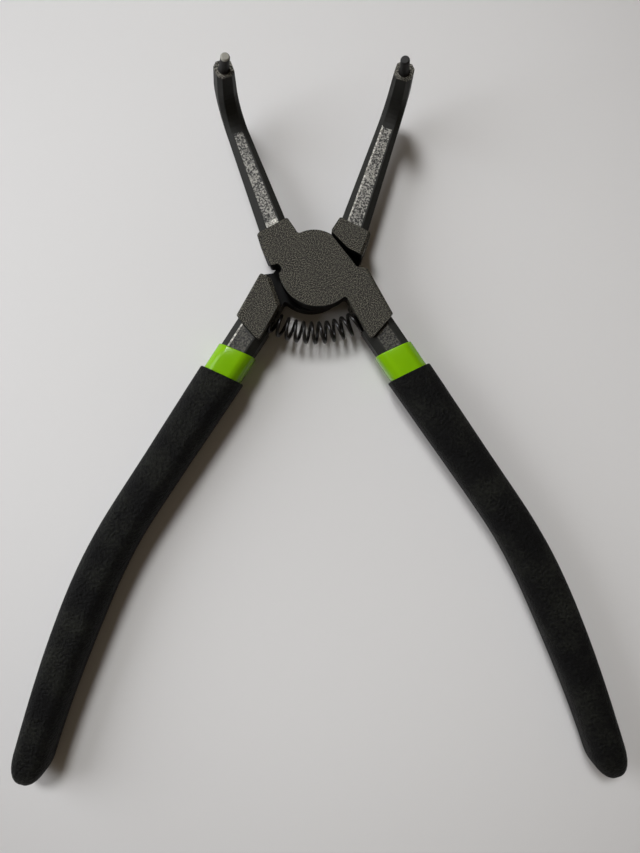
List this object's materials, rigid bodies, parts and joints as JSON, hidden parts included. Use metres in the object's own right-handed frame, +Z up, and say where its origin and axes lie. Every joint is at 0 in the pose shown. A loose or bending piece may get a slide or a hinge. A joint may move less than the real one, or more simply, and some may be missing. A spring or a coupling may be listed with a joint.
{
  "type": "internal circlip pliers",
  "caption": "Spring-loaded internal circlip pliers with bent-up tips: crossed forged levers on a riveted lap joint, press-fitted tip pins, coil return spring and foam grips over dipped sleeves.",
  "frame": {"origin": "pivot axis at the underside of the head, on the surface the tool lies on", "axes": "+Y towards the jaws, +X to the right seen from above, +Z up along the pivot axis and the bent tips"},
  "size_m": [0.1618, 0.1834, 0.0269],
  "materials": {
    "coated_steel": "fine-grain grey coating on forged steel",
    "black_steel": "black oxide steel",
    "lime_dip": "glossy dipped vinyl",
    "black_foam": "matte foamed vinyl dip"
  },
  "bodies": {
    "front_half": {"front_lever": "coated_steel", "pivot_rivet": "black_steel", "left_tip_pin": "black_steel", "return_spring": "black_steel", "front_sleeve": "lime_dip", "front_grip": "black_foam"},
    "rear_half": {"rear_lever": "coated_steel", "right_tip_pin": "black_steel", "rear_sleeve": "lime_dip", "rear_grip": "black_foam"}
  },
  "joints": [
    {"name": "pivot", "type": "hinge", "parent": "front_half", "child": "rear_half", "pos_m": [0, 0, 0.006], "axis": [0, 0, 1], "range_deg": [0, 46], "stiffness_Nm_per_rad": 1.2, "springref_deg": -6.88, "deforming": ["return_spring"]}
  ]
}
